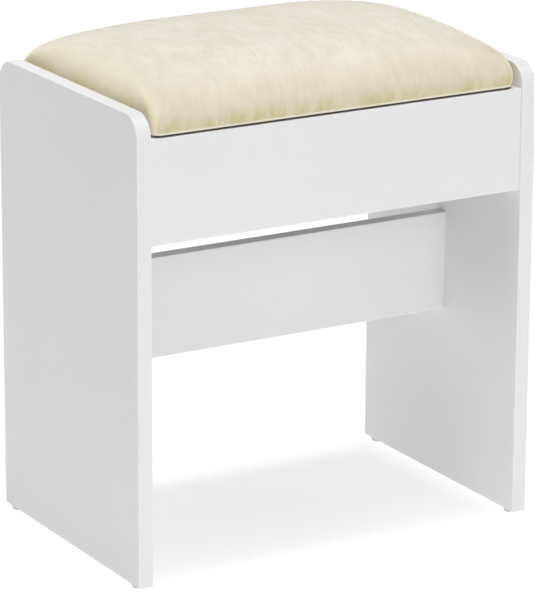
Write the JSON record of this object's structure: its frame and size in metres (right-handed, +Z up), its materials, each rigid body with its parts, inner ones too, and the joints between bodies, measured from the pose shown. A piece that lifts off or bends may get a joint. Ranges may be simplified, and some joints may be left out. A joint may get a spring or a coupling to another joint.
{
  "type": "vanity stool",
  "caption": "White flat-pack vanity stool: full-height side panels joined by aprons and a low stretcher, with a crowned fabric seat pad set between them.",
  "frame": {"origin": "on the floor, under the middle of the seat", "axes": "+Z up, -Y towards the front apron, +X to the right as seen from the front"},
  "size_m": [0.432, 0.274, 0.491],
  "materials": {
    "white_board": "fibreboard with a smooth white satin paint on every face and edge",
    "plywood": "bare plywood, hidden inside the seat pad",
    "beech": "bare beech dowel",
    "foam": "cut polyurethane foam",
    "cream_fabric": "cream crushed plush with a short soft pile",
    "black_cloth": "black spun-bonded cloth",
    "zinc": "zinc die-casting, dull",
    "plated_steel": "bright zinc-plated steel",
    "glide_plastic": "pale grey moulded plastic"
  },
  "bodies": {
    "root": {"left_side_panel": "white_board", "right_side_panel": "white_board", "front_apron": "white_board", "rear_apron": "white_board", "stretcher": "white_board", "front_apron_cam_locks": "zinc", "rear_apron_cam_locks": "zinc", "stretcher_cam_locks": "zinc", "front_apron_cam_bolts": "plated_steel", "rear_apron_cam_bolts": "plated_steel", "stretcher_cam_bolts": "plated_steel", "front_apron_dowels": "beech", "rear_apron_dowels": "beech", "stretcher_dowels": "beech", "seat_board": "plywood", "seat_foam": "foam", "seat_cover": "cream_fabric", "dust_cover": "black_cloth", "seat_staples": "plated_steel", "front_left_bracket": "plated_steel", "front_right_bracket": "plated_steel", "rear_left_bracket": "plated_steel", "rear_right_bracket": "plated_steel", "bracket_seat_screws": "plated_steel", "bracket_apron_screws": "plated_steel", "front_left_glide": "glide_plastic", "front_right_glide": "glide_plastic", "rear_left_glide": "glide_plastic", "rear_right_glide": "glide_plastic", "glide_nails": "plated_steel"}
  },
  "joints": []
}
